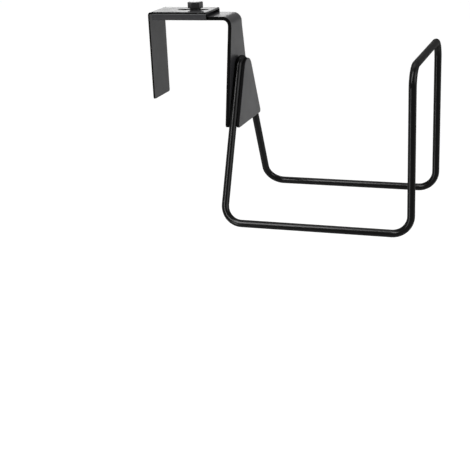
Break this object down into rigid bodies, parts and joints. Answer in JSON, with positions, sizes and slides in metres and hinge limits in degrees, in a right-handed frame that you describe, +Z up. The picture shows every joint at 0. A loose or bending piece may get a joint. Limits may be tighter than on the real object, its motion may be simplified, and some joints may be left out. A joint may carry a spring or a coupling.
{
  "type": "hose hanger",
  "caption": "Over-rail garden hose hanger: an adjustable steel clamp hooks over a rail and carries a bent-wire cradle that holds a coiled hose.",
  "frame": {"origin": "rail seat: on the tongue's underside, midway across it, 18 mm behind the front leg's rail side", "axes": "+Z up, +X away from the rail towards the hose, +Y along the rail; symmetrical about Y = 0"},
  "size_m": [0.2275, 0.13, 0.1703],
  "materials": {
    "powder_coated_steel": "satin black powder coat on sheet steel",
    "powder_coated_wire": "satin black powder coat on round steel wire",
    "blackened_screw_steel": "black-coated steel screw"
  },
  "bodies": {
    "bracket": {"front_bracket": "powder_coated_steel", "cover_plate": "powder_coated_steel", "wire_cradle": "powder_coated_wire"},
    "hook": {"rear_hook": "powder_coated_steel"},
    "screw": {"clamp_screw": "blackened_screw_steel"}
  },
  "joints": [
    {"name": "width_slide", "type": "slide", "parent": "bracket", "child": "hook", "axis": [1, 0, 0], "range_m": [-0.008, 0.012]},
    {"name": "screw_turn", "type": "hinge", "parent": "bracket", "child": "screw", "pos_m": [-0.014, 0, 0], "axis": [0, 0, 1], "range_deg": [0, 720]}
  ]
}
